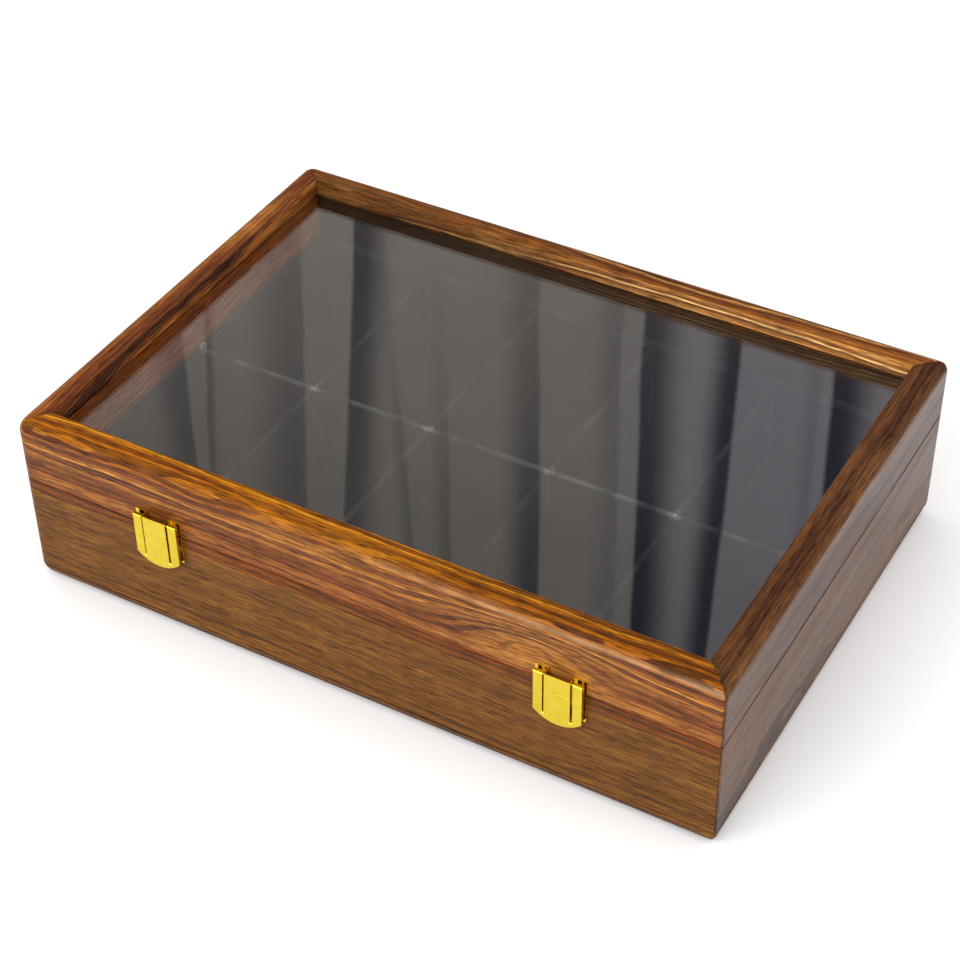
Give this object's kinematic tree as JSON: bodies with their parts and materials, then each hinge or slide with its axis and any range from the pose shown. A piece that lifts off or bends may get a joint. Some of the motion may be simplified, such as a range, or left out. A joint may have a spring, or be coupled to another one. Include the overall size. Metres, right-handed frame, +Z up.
{
  "type": "glasses display case",
  "caption": "Wooden case with a hinged, glazed lid, two brass-coloured swing latches, and a lined base divided into compartments for folded glasses.",
  "frame": {"origin": "middle of the underside, with the latches and hinge barrels counted in the box", "axes": "+X to the right seen from the front, +Y to the hinged back, +Z up"},
  "size_m": [0.48, 0.3466, 0.126],
  "materials": {
    "lid_wood": "varnished, reddish brown with dark streaks",
    "base_wood": "varnished, olive brown with fine pores",
    "brass": "polished yellow brass plating",
    "glass": "clear float glass",
    "lining_cloth": "charcoal velvet"
  },
  "bodies": {
    "base": {"back_lining": "lining_cloth", "base_back_board": "base_wood", "base_front_board": "base_wood", "base_left_board": "base_wood", "base_right_board": "base_wood", "bottom_board": "base_wood", "cross_divider_1": "lining_cloth", "cross_divider_2": "lining_cloth", "cross_divider_3": "lining_cloth", "cross_divider_4": "lining_cloth", "floor_lining": "lining_cloth", "front_lining": "lining_cloth", "left_lining": "lining_cloth", "right_lining": "lining_cloth", "long_divider": "lining_cloth", "hinge_left_base_leaf": "brass", "hinge_left_pin": "brass", "hinge_left_base_screw_1": "brass", "hinge_left_base_screw_2": "brass", "hinge_right_base_leaf": "brass", "hinge_right_pin": "brass", "hinge_right_base_screw_1": "brass", "hinge_right_base_screw_2": "brass", "latch_left_base_plate": "brass", "latch_left_plate_nail_1": "brass", "latch_left_plate_nail_2": "brass", "latch_right_base_plate": "brass", "latch_right_plate_nail_1": "brass", "latch_right_plate_nail_2": "brass"},
    "lid": {"glass_pane": "glass", "lid_back_rail": "lid_wood", "lid_front_rail": "lid_wood", "lid_left_rail": "lid_wood", "lid_right_rail": "lid_wood", "hinge_left_lid_leaf": "brass", "hinge_left_lid_screw_1": "brass", "hinge_left_lid_screw_2": "brass", "hinge_right_lid_leaf": "brass", "hinge_right_lid_screw_1": "brass", "hinge_right_lid_screw_2": "brass", "latch_left_keeper": "brass", "latch_left_pin": "brass", "latch_left_keeper_nail_1": "brass", "latch_left_keeper_nail_2": "brass", "latch_right_keeper": "brass", "latch_right_pin": "brass", "latch_right_keeper_nail_1": "brass", "latch_right_keeper_nail_2": "brass"},
    "latch_left": {"latch_left_lever": "brass"},
    "latch_right": {"latch_right_lever": "brass"}
  },
  "joints": [
    {"name": "lid_hinge", "type": "hinge", "parent": "base", "child": "lid", "pos_m": [0, 0.1703, 0.081], "axis": [-1, 0, 0], "range_deg": [0, 100]},
    {"name": "latch_left_swing", "type": "hinge", "parent": "lid", "child": "latch_left", "pos_m": [-0.135, -0.1712, 0.0906], "axis": [-1, 0, 0], "range_deg": [0, 110]},
    {"name": "latch_right_swing", "type": "hinge", "parent": "lid", "child": "latch_right", "pos_m": [0.141, -0.1712, 0.0906], "axis": [-1, 0, 0], "range_deg": [0, 110]}
  ]
}
